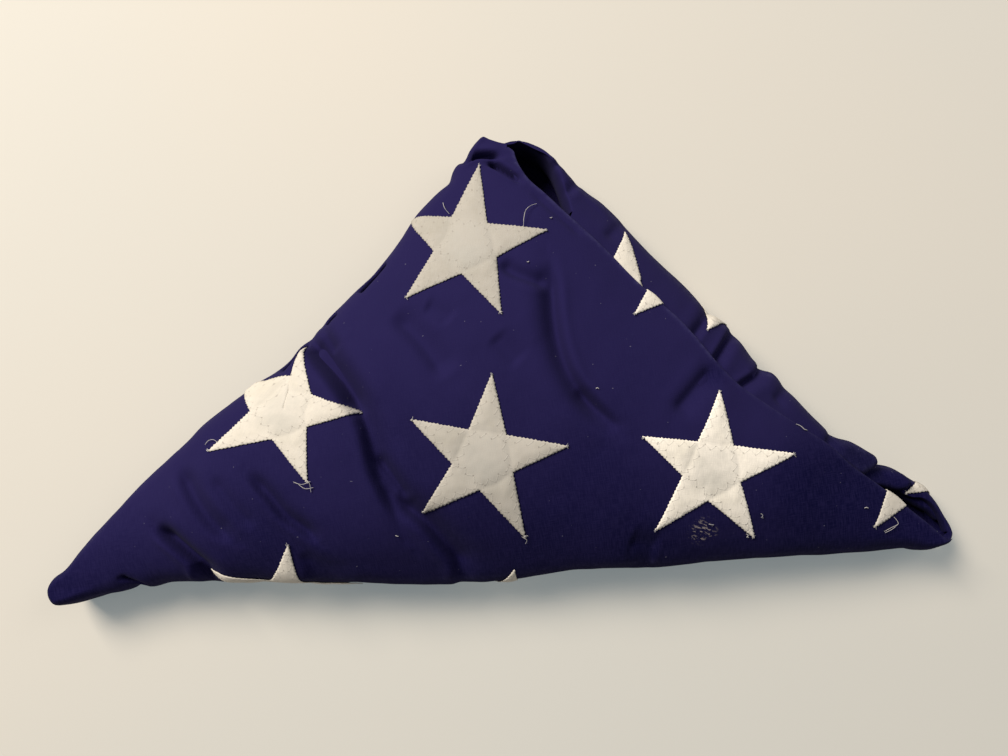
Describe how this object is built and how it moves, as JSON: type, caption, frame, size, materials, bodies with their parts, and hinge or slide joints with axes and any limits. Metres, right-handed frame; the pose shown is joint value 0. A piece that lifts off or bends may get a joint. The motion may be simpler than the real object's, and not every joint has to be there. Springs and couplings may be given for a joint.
{
  "type": "triangle-folded cotton flag",
  "caption": "Worn navy cotton flag with sewn-on cream stars, rolled into a soft triangle of many layers, lying on its back.",
  "frame": {"origin": "centre of the bounding box in plan, at the bottom of the back layer", "axes": "+X along the triangle's long side, to the right as seen from the front; +Y from the long side to the apex; +Z out of the front layer"},
  "size_m": [0.5361, 0.2757, 0.081],
  "materials": {
    "navy_cotton": "matt plain-woven cotton, faded, creased and dusty",
    "cream_cotton": "matt plain-woven cotton, yellowed, with zigzag stitching and frayed points"
  },
  "bodies": {
    "root": {"flag_cloth": "navy_cotton", "star_apex": "cream_cotton", "star_left": "cream_cotton", "star_centre": "cream_cotton", "star_right": "cream_cotton", "star_bottom_left": "cream_cotton", "star_bottom_tip": "cream_cotton", "star_edge_upper": "cream_cotton", "star_edge_lower": "cream_cotton", "star_inner_upper": "cream_cotton", "star_inner_middle": "cream_cotton", "star_inner_lower": "cream_cotton"}
  },
  "joints": []
}
